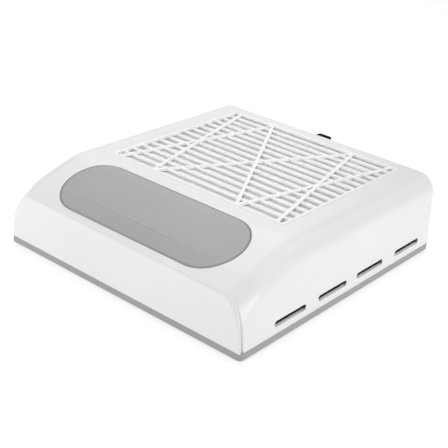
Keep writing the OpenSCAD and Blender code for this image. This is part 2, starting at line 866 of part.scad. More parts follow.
module speed_control_body() {
    color([0.30, 0.30, 0.33]) place() translate([knob_x, back_y - wall, panel_parts_z]) difference() {
        union() {
            translate([-8.5, -8, -8.5]) cube([17, 8, 17]);
            to_back() translate([0, 0, -1]) cylinder(r = 3.6, h = wall + 3.6);
        }
        to_back() translate([0, 0, -1]) cylinder(r = shaft_d / 2 + running_gap, h = 20);
    }
}

module speed_control_nut() {
    color(steel) place() translate([knob_x, back_y, panel_parts_z]) to_back() difference() {
        cylinder(r = 6, h = 2, $fn = 6);
        translate([0, 0, -1]) cylinder(r = 3.6, h = 5);
    }
}

module speed_control_shaft() {
    color(steel) place() translate([knob_x, back_y - wall - 0.9, panel_parts_z])
        to_back() cylinder(d = shaft_d, h = wall + 0.9 + back_reach - 1.6);
}

module speed_knob() {
    flutes = 20;
    color(inner_black) place() translate([knob_x, back_y + 0.5, panel_parts_z]) to_back() difference() {
        linear_extrude(back_reach - 0.5) difference() {
            circle(d = knob_d, $fn = 72);
            for (i = [0 : flutes - 1])
                rotate(i * 360 / flutes) translate([knob_d / 2 + 0.5, 0]) circle(r = 1.1);
        }
        translate([0, 0, -1]) cylinder(r = 6.8, h = 3.8);
        translate([0, 0, -1]) cylinder(d = shaft_d, h = back_reach - 1.1);
        rotate(135) translate([-0.6, -knob_d / 2, back_reach - 1]) cube([1.2, knob_d / 2 - 2, 2]);
    }
}

module at_rocker() {
    translate([rocker_x, back_y + rocker_pivot_out, panel_parts_z]) children();
}

module rocker_housing() {
    color(inner_black) place() difference() {
        union() {
            translate([rocker_x - rocker_w / 2, back_y, panel_parts_z - rocker_h / 2])
                cube([rocker_w, 1.6, rocker_h]);
            translate([rocker_x - 6.5, back_y - 13, panel_parts_z - 9.5]) cube([13, 13 + eps, 19]);
        }
        at_rocker() rotate([0, 90, 0]) cylinder(r = rocker_r + 0.3, h = 11.2, center = true);
    }
}

// The outside is a shallow V about the pivot; the inside is a drum that turns in the housing
module rocker_button() {
    half_angle = rocker_swing / 2;
    rise = 1.2;
    color(inner_black) place() at_rocker() rotate([-half_angle, 0, 0]) rotate([90, 0, 90])
        linear_extrude(10.6, center = true) difference() {
            circle(r = rocker_r);
            polygon([[rise, 0], [rise + 12 * tan(half_angle), 12], [20, 12], [20, -12],
                [rise + 12 * tan(half_angle), -12]]);
        }
}

module switch_terminals() {
    color(copper) place() for (x = [-pole_x, pole_x], z = [-pole_z, pole_z])
        translate([rocker_x + x - 2.2, back_y - 20, panel_parts_z + z - 0.4]) cube([4.4, 7, 0.8]);
}

module figure_eight(r, pitch) {
    for (x = [-1, 1]) translate([x * pitch / 2, 0]) circle(r = r);
    square([pitch, 2 * r * 0.86], center = true);
}

inlet_pin_pitch = 8.6;

module mains_inlet() {
    color(inner_black) place() difference() {
        translate([inlet_x, back_y, panel_parts_z]) {
            rotate([-90, 0, 0]) linear_extrude(1.8) round_rect(inlet_w, inlet_h, 2);
            translate([-13, -16, -7.5]) cube([26, 16 + eps, 15]);
        }
        translate([inlet_x, back_y - 11, panel_parts_z]) rotate([-90, 0, 0])
            linear_extrude(20) figure_eight(4.6, inlet_pin_pitch);
        for (x = [-1, 1]) translate([inlet_x + x * inlet_pin_pitch / 2, back_y - 20, panel_parts_z])
            to_back() cylinder(r = 1.2, h = 12);
    }
}

module inlet_pins() {
    color(steel) place() for (x = [-1, 1])
        translate([inlet_x + x * inlet_pin_pitch / 2, back_y - 16, panel_parts_z]) to_back() {
            cylinder(r = 1.2, h = 13);
            translate([0, 0, 13]) sphere(r = 1.2, $fn = 24);
        }
}

module inlet_terminals() {
    color(copper) place() for (x = [-1, 1])
        translate([inlet_x + x * inlet_pin_pitch / 2 - 0.4, back_y - 23, panel_parts_z - 2.4])
            cube([0.8, 7, 4.8]);
}

// ---- leads inside the housing ----

board_top = board_z + 1.6;

// Two leads side by side. gaps has the step from one lead to the other at each point of
// the route, always across it. The level direction suits a route that never runs straight up.
module lead_pair(route, gaps, r, level = [0, 0, 1]) {
    for (s = [-0.5, 0.5])
        lead([for (i = [0 : len(route) - 1]) route[i] + s * gaps[i]], r, level);
}

module mains_leads() {
    y = back_y - 32;
    z = panel_parts_z - pole_z;
    color([0.12, 0.12, 0.13]) place() lead_pair([
        [inlet_x, back_y - 23.1, panel_parts_z], [inlet_x, back_y - 28, panel_parts_z],
        [inlet_x - 14, y, panel_parts_z - 2], [rocker_x + 12, y, z],
        [rocker_x, back_y - 27, z], [rocker_x, back_y - 20.1, z]], [
        [inlet_pin_pitch, 0, 0], [inlet_pin_pitch, 0, 0],
        [0, -3, 0], [0, -3, 0],
        [-2 * pole_x, 0, 0], [-2 * pole_x, 0, 0]], 1.1);
}

module switch_leads() {
    y = back_y - 17;
    z = panel_parts_z + pole_z;
    color([0.45, 0.20, 0.12]) place() lead_pair([
        [rocker_x, back_y - 20.1, z], [rocker_x, back_y - 27, z],
        [rocker_x - 14, back_y - 30, z - 6], [20, y, 8], [-44, y, 8],
        [board_x + 32, board_y + 14, 9], [board_x + 26, board_y + 4, 17],
        [board_x + 18, board_y + 3.6, board_top + 1.15]], [
        [2 * pole_x, 0, 0], [2 * pole_x, 0, 0],
        [0, -3, 0], [0, -2.8, 0], [1.6, -2.8, 0],
        [2.6, -1, 0], [1.6, -2.6, 0],
        [0, -2.6, 0]], 1.1);
}

module speed_leads() {
    y = back_y - wall - 8.1;
    color([0.75, 0.75, 0.72]) place() lead_pair([
        [knob_x, y, panel_parts_z - 5], [knob_x, y - 7, panel_parts_z - 5],
        [board_x + 6, board_y + 24, board_top + 8], [board_x - 1, board_y + 15, board_top + 4],
        [board_x - 1, board_y + 11.5, board_top + 0.95]], [
        [2.4, 0, 0], [2.4, 0, 0],
        [1.5, -1.9, 0], [2, -1.4, 0],
        [2.4, 0, 0]], 0.9);
}

// The level direction leans back from the last stretch, which runs straight up
module motor_leads() {
    y = fan_y + lead_hole_y;
    color([0.70, 0.15, 0.12]) place() lead_pair([
        [board_x + 18, board_y - 5, board_top + 0.85], [board_x + 25, board_y - 7, board_top + 3],
        [board_x + 30, board_y - 12, 9], [-46, y + 10, 6.5], [-30, y, 6.5],
        [lead_hole_x - 6, y, 6], [lead_hole_x, y, 6], [lead_hole_x, y, can_z + 5.5]], [
        [0, 2.2, 0], [0.6, 2.1, 0],
        [1.6, 1.6, 0], [1.7, 1.4, 0], [1, 2, 0],
        [0, 2.2, 0], [0, 2.2, 0], [0, 2.2, 0]], 0.8, level = [-0.3, -0.2, 1]);
}

module lead_clips() {
    color(inner_black) place() for (x = [-20, 0])
        translate([x, back_y - 17, floor_top]) difference() {
            translate([-3, -4.4, 0]) cube([6, 8.8, 6.5]);
            translate([-4, -2.8, 1]) cube([8, 5.6, 6.5]);
        }
}

top_shell();
grille_panel();
wrist_pad();
base_tray();
rubber_feet();
base_screws();
filter_frame();
filter_scrim();
filter_media();
filter_gasket();
filter_pull_tab();
fan_deck();
deck_screws();
inlet_ring();
finger_guard();
guard_screws();
impeller();
impeller_nut();
motor_shaft();
motor_rotor();
upper_bearing();
lower_bearing();
motor_can();
motor_stator();
motor_windings();
motor_end_cap();
motor_bracket();
motor_isolators();
motor_screws();
bracket_screws();
control_board();
board_parts();
board_screws();
speed_control_body();
speed_control_nut();
speed_control_shaft();
speed_knob();
rocker_housing();
rocker_button();
switch_terminals();
mains_inlet();
inlet_pins();
inlet_terminals();
mains_leads();
switch_leads();
speed_leads();
motor_leads();
lead_clips();
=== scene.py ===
import json
import math

import bmesh
import bpy
from mathutils import Matrix, Vector, noise


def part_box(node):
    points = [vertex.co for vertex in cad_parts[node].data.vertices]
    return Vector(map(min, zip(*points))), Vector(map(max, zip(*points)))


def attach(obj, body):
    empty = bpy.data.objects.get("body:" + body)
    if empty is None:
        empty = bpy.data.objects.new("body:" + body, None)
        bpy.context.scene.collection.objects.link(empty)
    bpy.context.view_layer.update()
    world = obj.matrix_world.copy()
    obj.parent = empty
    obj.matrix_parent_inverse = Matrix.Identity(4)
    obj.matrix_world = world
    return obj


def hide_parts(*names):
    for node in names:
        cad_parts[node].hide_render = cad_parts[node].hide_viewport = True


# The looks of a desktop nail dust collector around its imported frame, in metres.
# +Z is up, +Y is the back, and the origin is on the table.

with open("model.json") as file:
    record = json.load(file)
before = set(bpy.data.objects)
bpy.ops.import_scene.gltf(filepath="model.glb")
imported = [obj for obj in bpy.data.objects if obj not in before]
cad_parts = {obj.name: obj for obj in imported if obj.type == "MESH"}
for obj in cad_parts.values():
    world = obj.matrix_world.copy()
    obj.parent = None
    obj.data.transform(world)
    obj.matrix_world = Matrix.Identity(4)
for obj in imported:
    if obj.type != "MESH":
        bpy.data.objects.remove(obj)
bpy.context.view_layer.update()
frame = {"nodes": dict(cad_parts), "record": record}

MM = 0.001

# ---- measures from the frame ----

SHELL_LOW, SHELL_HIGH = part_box("top_shell")
TRAY_LOW, TRAY_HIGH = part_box("base_tray")
PANEL_LOW, PANEL_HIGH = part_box("grille_panel")
PAD_LOW, PAD_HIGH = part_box("wrist_pad")

FRONT_Y = SHELL_LOW.y
BACK_Y = SHELL_HIGH.y
SHELL_TOP = SHELL_HIGH.z
BAND_TOP = SHELL_LOW.z
TRAY_FLOOR = TRAY_LOW.z
HALF_W = TRAY_HIGH.x

# ---- the housing's outer form, as part.scad has it ----

WALL = 2.5 * MM
SIDE_LEAN = 4.5 * MM / (PANEL_HIGH.z - TRAY_FLOOR)
SHOULDER_R = 18 * MM
SHOULDER_GROWTH = 6 * MM
NOSE_RUN = 29 * MM
NOSE_LEAN = 0.06
NOSE_STRETCH = 0.8
SLOPE_RUN = 66 * MM
BEND_RUN = 21.5 * MM
BEND_H = 61.4 * MM
FRONT_H = 52.5 * MM
FRONT_EDGE_R = 1.8 * MM
BACK_EDGE_R = 2.5 * MM
CREST_Y = FRONT_Y + SLOPE_RUN
CREST_HALF = 8 * MM
BEND_Y = FRONT_Y + BEND_RUN
BEND_HALF = 4 * MM
SLOPE_ONE = (SHELL_TOP - BEND_H) / (SLOPE_RUN - BEND_RUN)
SLOPE_TWO = (BEND_H - FRONT_H) / BEND_RUN
ARC_STEPS = 20
SIDE_STEPS = 6
TOP_STEPS = 28


def knee(y, at, half, slope):
    """Drop of a line that starts to fall at y = at, blended over twice its half length."""
    v = at + half - y
    if v <= 0:
        return 0.0
    if v >= 2 * half:
        return slope * (v - half)
    return slope * v * v / (4 * half)


def top_line(y):
    """Height of the housing's top at y."""
    crest = knee(y, CREST_Y, CREST_HALF, SLOPE_ONE)
    return SHELL_TOP - crest - knee(y, BEND_Y, BEND_HALF, SLOPE_TWO - SLOPE_ONE)


def nose(y):
    """0 behind the nose of the housing, and up to 1 at its front face."""
    return max(0.0, 1 - (y - FRONT_Y) / NOSE_RUN) ** 2


def section(y, grow, low, inset=0.0):
    """Outline of the housing across y, from the bottom right over the top to the bottom left."""
    grow = grow - inset
    radius = SHOULDER_R + SHOULDER_GROWTH * nose(y) + grow
    height = radius * (1 + NOSE_STRETCH * nose(y))
    lean = SIDE_LEAN + NOSE_LEAN * nose(y)
    side = HALF_W + grow * math.hypot(1, lean)
    start = math.atan(lean * height / radius)
    centre_z = top_line(y) + grow - height
    start_z = centre_z + height * math.sin(start)
    centre_x = side - lean * (start_z - TRAY_FLOOR) - radius * math.cos(start)
    foot = Vector((side - lean * (low - TRAY_FLOOR), low))
    arc = [
        Vector((centre_x + radius * math.cos(t), centre_z + height * math.sin(t)))
        for t in spread(start, math.pi / 2, ARC_STEPS)
    ]
    right = [foot.lerp(arc[0], f) for f in spread(0, 1, SIDE_STEPS)[:-1]] + arc
    left = [Vector((-p.x, p.y)) for p in reversed(right)]
    across = [right[-1].lerp(left[0], f) for f in spread(0, 1, TOP_STEPS)[1:-1]]
    return right + across + left


def spread(a, b, steps):
    """Evenly spaced values from a to b, both included."""
    return [a + (b - a) * i / steps for i in range(steps + 1)]


# ---- mesh helpers ----

MERGE_GAP = 0.01 * MM
WELD_GAP = 0.005 * MM
EDGE_SEGMENTS = 2
# Turns what is drawn in XY to stand in the back face, its Z pointing out at the back
TO_BACK = Matrix.Rotation(math.radians(-90), 4, "X")


def new_piece(name, bm):
    """An object from a bmesh, with its faces turned outwards."""
    bmesh.ops.recalc_face_normals(bm, faces=bm.faces)
    mesh = bpy.data.meshes.new(name)
    bm.to_mesh(mesh)
    bm.free()
    piece = bpy.data.objects.new(name, mesh)
    bpy.context.scene.collection.objects.link(piece)
    return piece


def loft(name, rings, capped=True):
    """A piece through rings of equally many points, each ring closed."""
    bm = bmesh.new()
    made = [[bm.verts.new(p) for p in ring] for ring in rings]
    count = len(rings[0])
    for a, b in zip(made, made[1:]):
        for i in range(count):
            j = (i + 1) % count
            bm.faces.new((a[i], a[j], b[j], b[i]))
    if capped:
        bm.faces.new(made[0])
        bm.faces.new(made[-1])
    return new_piece(name, bm)


def prism(name, outline, low, high, turn=Matrix.Identity(4)):
    """An outline in XY drawn out from low to high along Z, then placed by a matrix."""
    rings = [[turn @ Vector((p[0], p[1], z)) for p in outline] for z in (low, high)]
    return loft(name, rings)


def settle(piece):
    """Applies the piece's modifiers to its mesh."""
    graph = bpy.context.evaluated_depsgraph_get()
    made = bpy.data.meshes.new_from_object(piece.evaluated_get(graph))
    piece.modifiers.clear()
    old = piece.data
    piece.data = made
    bpy.data.meshes.remove(old)


def combine(piece, operation, *others):
    """Cuts the others from the piece, or joins them to it, and removes them."""
    for other in others:
        step = piece.modifiers.new("combine", "BOOLEAN")
        step.operation = operation
        step.solver = "EXACT"
        step.object = other
    settle(piece)
    for other in others:
        bpy.data.objects.remove(other)


def merge_flat(piece, angle=0.4):
    """Merges doubled points and the faces that lie in one plane."""
    bm = bmesh.new()
    bm.from_mesh(piece.data)
    bmesh.ops.remove_doubles(bm, verts=bm.verts, dist=MERGE_GAP)
    bmesh.ops.dissolve_limit(
        bm,
        angle_limit=math.radians(angle),
        verts=bm.verts,
        edges=bm.edges,
        use_dissolve_boundaries=False,
    )
    bm.to_mesh(piece.data)
    bm.free()


def soften(piece, width, angle=32):
    """Small rounded edges that keep the flat faces flat in their shading."""
    weld = piece.modifiers.new("weld", "WELD")
    weld.merge_threshold = WELD_GAP
    edge = piece.modifiers.new("edge", "BEVEL")
    edge.width = width
    edge.segments = EDGE_SEGMENTS
    edge.limit_method = "ANGLE"
    edge.angle_limit = math.radians(angle)
    edge.use_clamp_overlap = True
    edge.miter_outer = "MITER_ARC"
    even = piece.modifiers.new("even", "WEIGHTED_NORMAL")
    even.keep_sharp = True
    even.weight = 60


def shade_smooth(piece):
    """Shades the piece's faces as one curved surface."""
    for face in piece.data.polygons:
        face.use_smooth = True


def circle(radius, steps, x=0.0, y=0.0):
    """A round outline about (x, y)."""
    turns = [2 * math.pi * i / steps for i in range(steps)]
    return [(x + radius * math.cos(t), y + radius * math.sin(t)) for t in turns]


def stadium(length, width, steps=20):
    """A slot outline with round ends, its length along X."""
    half = (length - width) / 2
    right = spread(-math.pi / 2, math.pi / 2, steps)
    points = [(half + width / 2 * math.cos(t), width / 2 * math.sin(t)) for t in right]
    return points + [(-x, -y) for x, y in points]


def rectangle(width, depth, x=0.0, y=0.0):
    """An oblong outline about (x, y)."""
    w, d = width / 2, depth / 2
    return [(x - w, y - d), (x + w, y - d), (x + w, y + d), (x - w, y + d)]


# ---- the shell ----

SHELL_SOFT = 0.2 * MM
# Cuts from above reach up to here, well over the top
CUT_TOP = 90 * MM
OPENING_LOW = 50 * MM
OPENING_GAP = 0.08 * MM
LEDGE_IN = 1.9 * MM
LEDGE_OUT = 3 * MM
LEDGE_T = 1.8 * MM
LEDGE_LAP = 0.2 * MM
# The slots low in both sides: length, height, rise of the lower lip, gain in length inwards
VENT_L = 41 * MM
VENT_H = 5.6 * MM
VENT_LIP = 0.9 * MM
VENT_FLARE = 4 * MM
VENT_Z = 17 * MM
VENT_YS = [-82.5 * MM, -24 * MM, 33 * MM, 95 * MM]
# The vent cuts run from outside the side face to inside the wall
VENT_OUTSIDE = 6 * MM
VENT_INSIDE = 14 * MM
VENT_LAP = 0.3 * MM
# The wrist pad's pocket
POCKET_DEPTH = 1.4 * MM
POCKET_GAP = 0.35 * MM
POCKET_LOW = 30 * MM
# The shadow line down the front corners: distance from the front face, width, depth, fade
GROOVE_Y = 2.4 * MM
GROOVE_W = 2.8 * MM
GROOVE_DEPTH = 1.9 * MM
GROOVE_FADE = 14 * MM
# Height of the rocker, inlet and knob on the back face
PANEL_PARTS_Z = 30 * MM
# The bosses for the base screws, their webs and their pilot holes
PILLAR_X = 118 * MM
PILLAR_R = 4 * MM
PILLAR_LOW = 10 * MM
PILLAR_HIGH = 40 * MM
PILLAR_YS = [FRONT_Y + 18 * MM, FRONT_Y + 149.5 * MM, BACK_Y - 12 * MM]
WEB_L = 11.2 * MM
WEB_T = 2 * MM
WEB_OUT = 7.3 * MM
WEB_RAISE = 3.5 * MM
PILOT_R = 1.5 * MM
PILOT_HIGH = 26 * MM


def skin(name, ys, grow, low, rounded):
    """The solid inside the housing's outer form, moved out by grow."""
    rings = []
    for y in ys:
        inset = edge_inset(y) if rounded else 0.0
        outline = section(y, grow, low, inset)
        if rounded and groove_depth(y) > 0:
            deep = section(y, grow, low, inset + groove_depth(y))
            outline = [p.lerp(q, groove_share(p.y)) for p, q in zip(outline, deep)]
        rings.append([(p.x, y, p.y) for p in outline])
    return loft(name, rings)


def groove_depth(y):
    """A shadow line runs down both front corners, just behind the rounded edge."""
    off = abs(y - FRONT_Y - GROOVE_Y) / (GROOVE_W / 2)
    return GROOVE_DEPTH * max(0.0, min(1.0, 2 - 2 * off))


def groove_share(z):
    """The shadow line fades out where the front corner turns into the crease."""
    return max(0.0, min(1.0, (FRONT_H - z) / GROOVE_FADE))


def edge_inset(y):
    """How far the rounded front and back edges draw the form in at y."""
    return fillet(y - FRONT_Y, FRONT_EDGE_R) + fillet(BACK_Y - y, BACK_EDGE_R)


def fillet(d, radius):
    """Inset of a rounded edge, at a distance d from the face."""
    if d >= radius:
        return 0.0
    return radius - math.sqrt(max(0.0, radius * radius - (radius - d) ** 2))


def places_along(rounded):
    """Where the housing has its sections: close together where it curves."""
    bends = [(BEND_Y - BEND_HALF, BEND_Y + BEND_HALF), (CREST_Y - CREST_HALF, CREST_Y + CREST_HALF)]
    ys = spread(bends[0][0], bends[0][1], 8) + spread(bends[0][1], bends[1][0], 10)[1:-1]
    ys += spread(bends[1][0], bends[1][1], 10)
    turns = [1 - math.cos(t) for t in spread(0, math.pi / 2, 7)]
    if rounded:
        front = [FRONT_Y + FRONT_EDGE_R * f for f in turns]
        groove = [FRONT_Y + GROOVE_Y + GROOVE_W * f for f in (-0.5, -0.25, 0, 0.25, 0.5)]
        front = sorted(front + groove)
        back = [BACK_Y - BACK_EDGE_R * f for f in reversed(turns)]
    else:
        front = [FRONT_Y + WALL]
        back = [BACK_Y - WALL]
    ys = front + spread(front[-1], ys[0], 8)[1:-1] + ys
    return ys + spread(ys[-1], back[0], 24)[1:-1] + back


def pad_outline(gap):
    """The wrist pad's outline from above, moved inwards by a gap."""
    middle = (PAD_LOW.y + PAD_HIGH.y) / 2
    length = PAD_HIGH.x - PAD_LOW.x - 2 * gap
    width = PAD_HIGH.y - PAD_LOW.y - 2 * gap
    return [(x, y + middle) for x, y in stadium(length, width, 40)]


def housing_shell():
    """The top moulding: hollow, with its openings, pad pocket, bosses and vents."""
    shell = skin("housing_shell", places_along(True), 0, BAND_TOP, True)
    inside = skin("inside", places_along(False), -WALL, BAND_TOP - 1 * MM, False)
    opening_w = PANEL_HIGH.x - PANEL_LOW.x + 2 * OPENING_GAP
    opening_d = PANEL_HIGH.y - PANEL_LOW.y + 2 * OPENING_GAP
    middle = (PANEL_LOW.y + PANEL_HIGH.y) / 2
    outline = rectangle(opening_w, opening_d, 0, middle)
    opening = prism("opening", outline, OPENING_LOW, CUT_TOP)
    combine(shell, "DIFFERENCE", inside, opening)
    combine(shell, "UNION", ledge(opening_w, opening_d, middle), *pillars())
    combine(shell, "DIFFERENCE", pocket(), *vent_cuts(), *back_cuts(), *pilot_holes())
    merge_flat(shell)
    shade_smooth(shell)
    soften(shell, SHELL_SOFT, 40)
    return shell


def ledge(opening_w, opening_d, middle):
    """The grille rests on it along the front and both sides."""
    z = PANEL_LOW.z
    outer = rectangle(opening_w + 2 * LEDGE_OUT, opening_d + 2 * LEDGE_OUT, 0, middle)
    ring = prism("ledge", outer, z - LEDGE_T, z + LEDGE_LAP)
    inner_w = PANEL_HIGH.x - PANEL_LOW.x - 2 * LEDGE_IN
    front = PANEL_LOW.y + LEDGE_IN
    inner = rectangle(inner_w, 2 * (BACK_Y - front), 0, BACK_Y)
    combine(ring, "DIFFERENCE", prism("inner", inner, z - 10 * MM, z + 10 * MM))
    return ring


def pillars():
    """Bosses for the base screws, each with a web to the side wall."""
    made = []
    for side in (-1, 1):
        for y in PILLAR_YS:
            boss = circle(PILLAR_R, 32, side * PILLAR_X, y)
            made.append(prism("boss", boss, PILLAR_LOW, PILLAR_HIGH))
            web = rectangle(WEB_L, WEB_T, side * (PILLAR_X + WEB_OUT), y)
            made.append(prism("web", web, BAND_TOP + WEB_RAISE, PILLAR_HIGH))
    return made


def pilot_holes():
    """Blind holes in the bosses, from below, for the screws' threads."""
    return [
        prism("pilot", circle(PILOT_R, 20, side * PILLAR_X, y), PILLAR_LOW - 1 * MM, PILOT_HIGH)
        for side in (-1, 1)
        for y in PILLAR_YS
    ]


def pocket():
    """What the wrist pad's pocket takes away, down to a floor that follows the top."""
    cut = prism("pocket", pad_outline(-POCKET_GAP), POCKET_LOW, CUT_TOP)
    ys = [y for y in places_along(False) if y < CREST_Y + 4 * CREST_HALF]
    kept_low = POCKET_LOW - 10 * MM
    kept = skin("kept", [FRONT_Y + 0.5 * MM] + ys[1:], -POCKET_DEPTH, kept_low, False)
    combine(cut, "DIFFERENCE", kept)
    return cut


def vent_cuts():
    """Slots whose lower lip slopes up inwards, and whose ends open out inwards."""
    outer = stadium(VENT_L, VENT_H, 12)
    inner = [(x, z + VENT_LIP / 2) for x, z in stadium(VENT_L + VENT_FLARE, VENT_H - VENT_LIP, 12)]
    face = HALF_W - SIDE_LEAN * (VENT_Z - TRAY_FLOOR)
    depths = [
        (-VENT_OUTSIDE, outer),
        (-VENT_LAP, outer),
        (WALL + VENT_LAP, inner),
        (VENT_INSIDE, inner),
    ]
    made = []
    for y in VENT_YS:
        for side in (-1, 1):
            rings = [
                [(side * (face - depth), y + along, VENT_Z + up) for along, up in outline]
                for depth, outline in depths
            ]
            made.append(loft("vent", rings))
    return made


ROCKER_X = 44 * MM
KNOB_X = -62 * MM
INLET_X = 80 * MM
ROCKER_CUT_W = 13.4 * MM
ROCKER_CUT_H = 19.4 * MM
INLET_CUT_W = 26.2 * MM
INLET_CUT_H = 15.2 * MM
SPINDLE_CUT_R = 3.8 * MM
CASSETTE_PLAY = 0.8 * MM
CASSETTE_LIFT = 0.3 * MM
# The cuts reach this far to both sides of the back face
CUT_REACH = 5 * MM


def back_cuts():
    """Openings in the back wall: cassette, rocker, inlet and speed control."""
    frame_low, frame_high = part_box("filter_frame")
    gasket_low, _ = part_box("filter_gasket")
    width = frame_high.x - frame_low.x + CASSETTE_PLAY
    slot_low = gasket_low.z - CASSETTE_LIFT
    slot_high = SHELL_TOP - WALL
    cuts = [
        (rectangle(width, slot_high - slot_low), 0, (slot_low + slot_high) / 2),
        (rectangle(ROCKER_CUT_W, ROCKER_CUT_H), ROCKER_X, PANEL_PARTS_Z),
        (rectangle(INLET_CUT_W, INLET_CUT_H), INLET_X, PANEL_PARTS_Z),
        (circle(SPINDLE_CUT_R, 32), KNOB_X, PANEL_PARTS_Z),
    ]
    made = []
    for outline, x, z in cuts:
        place = Matrix.Translation((x, BACK_Y, z)) @ TO_BACK
        made.append(prism("cut", outline, -CUT_REACH, CUT_REACH, place))
    return made


# ---- the wrist pad ----

# The open groove around the pad, and the flange below it that holds the pad
PAD_GROOVE = 0.8 * MM
PAD_FLANGE = 0.75 * MM
PAD_FLANGE_DEPTH = 0.35 * MM
PAD_FLOOR_GAP = 0.02 * MM
# Width of the band of painted shade along the pad's rim
PAD_RIM_W = 1.6 * MM
PAD_EDGE_R = 1.0 * MM
PAD_PROUD = 0.1 * MM
PAD_CROWN = 1.0 * MM
PAD_END_DROP = 1.6 * MM
PAD_END_RUN = 46 * MM
PAD_END_RISE = 10 * MM
PAD_LINE_H = 0.6 * MM
PAD_LINE_W = 0.9 * MM
PAD_LINE_END = 68 * MM
# Rings lie close together over this half width about the bend
PAD_NEAR_BEND = 3 * MM
PAD_LAST_RING = 0.6 * MM


def pad_height(x, y, inward, radius, half_length):
    """How far the pad stands over the housing's form, inward from its edge."""
    if inward < PAD_EDGE_R:
        edge = PAD_EDGE_R - math.sqrt(PAD_EDGE_R**2 - (PAD_EDGE_R - inward) ** 2)
    else:
        edge = 0.0
    crown = PAD_CROWN * (1 - (1 - inward / radius) ** 2)
    from_end = min(1.0, max(0.0, (half_length - abs(x)) / PAD_END_RUN))
    crown += PAD_END_DROP * (1 - (1 - from_end) ** 2) * min(1.0, inward / PAD_END_RISE)
    fade = max(0.0, 1 - (abs(x) / PAD_LINE_END) ** 6)
    line = PAD_LINE_H * fade * math.exp(-(((y - BEND_Y) / PAD_LINE_W) ** 2))
    return PAD_PROUD + crown - edge + line


def wrist_pad():
    """A moulded pad: rings that follow its outline inwards, over its crown and its bend."""
    radius = (PAD_HIGH.y - PAD_LOW.y) / 2 - PAD_GROOVE
    half_length = (PAD_HIGH.x - PAD_LOW.x) / 2 - PAD_GROOVE
    half = half_length - radius
    middle = (PAD_LOW.y + PAD_HIGH.y) / 2
    steps_in = [PAD_EDGE_R * (1 - math.cos(t)) for t in spread(0, math.pi / 2, 6)]
    bend_in = radius - (middle - BEND_Y)
    near_bend = spread(bend_in - PAD_NEAR_BEND, bend_in + PAD_NEAR_BEND, 24)
    steps_in += spread(PAD_EDGE_R, near_bend[0], 12)[1:-1] + near_bend
    steps_in += spread(near_bend[-1], radius - PAD_LAST_RING, 14)[1:]
    rings = []
    flange = radius + PAD_FLANGE
    for ring_radius, depth in (
        (flange, POCKET_DEPTH - PAD_FLOOR_GAP),
        (flange, PAD_FLANGE_DEPTH),
        (radius, PAD_FLANGE_DEPTH),
    ):
        ring = pad_ring(half, middle, ring_radius)
        rings.append([(x, y, top_line(y) - depth) for x, y in ring])
    for inward in steps_in:
        ring = pad_ring(half, middle, radius - inward)
        rings.append(
            [(x, y, top_line(y) + pad_height(x, y, inward, radius, half_length)) for x, y in ring]
        )
    pad = loft("wrist_pad_moulding", rings)
    shade_smooth(pad)
    inward = [-PAD_FLANGE] * 2 + [0.0] + steps_in
    # Painted shade: a mask that is 1 at the rim and fades to 0 one rim width inwards; it darkens
    # the pad's colour where the groove shades it
    rim = pad.data.attributes.new("rim", "FLOAT", "POINT")
    per_ring = len(rings[0])
    for i, value in enumerate(rim.data):
        value.value = 1 - min(1.0, max(0.0, inward[i // per_ring] / PAD_RIM_W))
    return pad


def pad_ring(half, middle, radius):
    """A stadium with the same number of points whatever its radius."""
    right = [
        (half + radius * math.cos(t), radius * math.sin(t))
        for t in spread(-math.pi / 2, math.pi / 2, 48)
    ]
    top = [(x, radius) for x in spread(half, -half, 66)[1:-1]]
    half_ring = right + top
    return [(x, middle + y) for x, y in half_ring + [(-x, -y) for x, y in half_ring]]


# ---- marks on the back ----

# Marks reach this far above and below the face that they are on
MARK_T = 0.15 * MM
ROCKER_SWING = math.radians(16)
ROCKER_RISE = 1.5 * MM
ROCKER_MARK_AT = 4.6 * MM
OFF_RING_R = 1.5 * MM
OFF_RING_HOLE_R = 1.0 * MM
ON_BAR_W = 0.6 * MM
ON_BAR_L = 3 * MM
DIAL_TICKS = 7
DIAL_TICK_R = 12.6 * MM
DIAL_TICK_L = 2.2 * MM
DIAL_TICK_W = 0.8 * MM
# Degrees round the knob, seen from the back and counted from the right over the top
DIAL_START = 225
DIAL_END = -45
# The pointer: its middle's distance from the knob's axis, its length and width,
# and how far its lower and upper faces stand out from the back face
POINTER_R = 5.6 * MM
POINTER_L = 7 * MM
POINTER_W = 0.9 * MM
POINTER_LOW = 7.45 * MM
POINTER_HIGH = 7.8 * MM


def hoop(name, outer, inner, low, high, turn):
    """A flat ring between two radii, placed by a matrix."""
    corners = [(outer, low), (outer, high), (inner, high), (inner, low), (outer, low)]
    rings = [[turn @ Vector((x, y, z)) for x, y in circle(r, 40)] for r, z in corners]
    made = loft(name, rings, capped=False)
    merge_flat(made, 0.01)
    return made


def rocker_marks():
    """On and off marks: a bar on the half that stands out and a ring on the half that is in."""
    lower = Vector((ROCKER_X, BACK_Y + ROCKER_RISE, PANEL_PARTS_Z - ROCKER_MARK_AT))
    ring_place = Matrix.Translation(lower) @ TO_BACK
    ring = hoop("rocker_marks", OFF_RING_R, OFF_RING_HOLE_R, -MARK_T, MARK_T, ring_place)
    out = ROCKER_RISE + ROCKER_MARK_AT * math.sin(ROCKER_SWING)
    up = ROCKER_MARK_AT * math.cos(ROCKER_SWING)
    upper = Vector((ROCKER_X, BACK_Y + out, PANEL_PARTS_Z + up))
    bar_place = Matrix.Translation(upper) @ Matrix.Rotation(-ROCKER_SWING, 4, "X") @ TO_BACK
    bar = prism("bar", rectangle(ON_BAR_W, ON_BAR_L), -MARK_T, MARK_T, bar_place)
    combine(ring, "UNION", bar)
    return ring


def dial_marks():
    """Raised ticks round the speed knob, over its three quarters of a turn."""
    ticks = []
    for angle in spread(DIAL_START, DIAL_END, DIAL_TICKS - 1):
        outline = rectangle(DIAL_TICK_L, DIAL_TICK_W, -DIAL_TICK_R, 0)
        ticks.append(prism("dial_marks", outline, -MARK_T, MARK_T, around_knob(angle)))
    combine(ticks[0], "UNION", *ticks[1:])
    return ticks[0]


